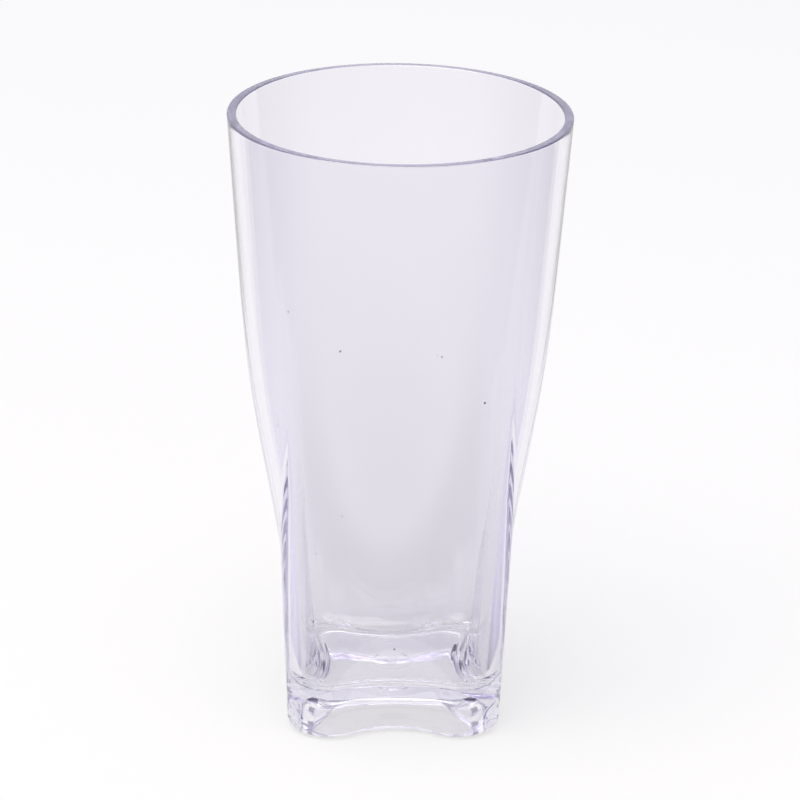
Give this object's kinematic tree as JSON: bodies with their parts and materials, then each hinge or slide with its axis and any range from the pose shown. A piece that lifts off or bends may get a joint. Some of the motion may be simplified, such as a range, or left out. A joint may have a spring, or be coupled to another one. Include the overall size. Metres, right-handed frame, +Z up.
{
  "type": "drinking glass",
  "caption": "Tall clear plastic tumbler with a round rim, a waisted square lower body with dished sides and a hollow foot.",
  "frame": {"origin": "centre of the foot's underside, on the ground plane", "axes": "+Z up along the axis of the glass; +X and +Y through the middles of two dished sides"},
  "size_m": [0.088, 0.088, 0.1617],
  "materials": {
    "polycarbonate": "clear polished moulding"
  },
  "bodies": {
    "root": {"tumbler": "polycarbonate"}
  },
  "joints": []
}
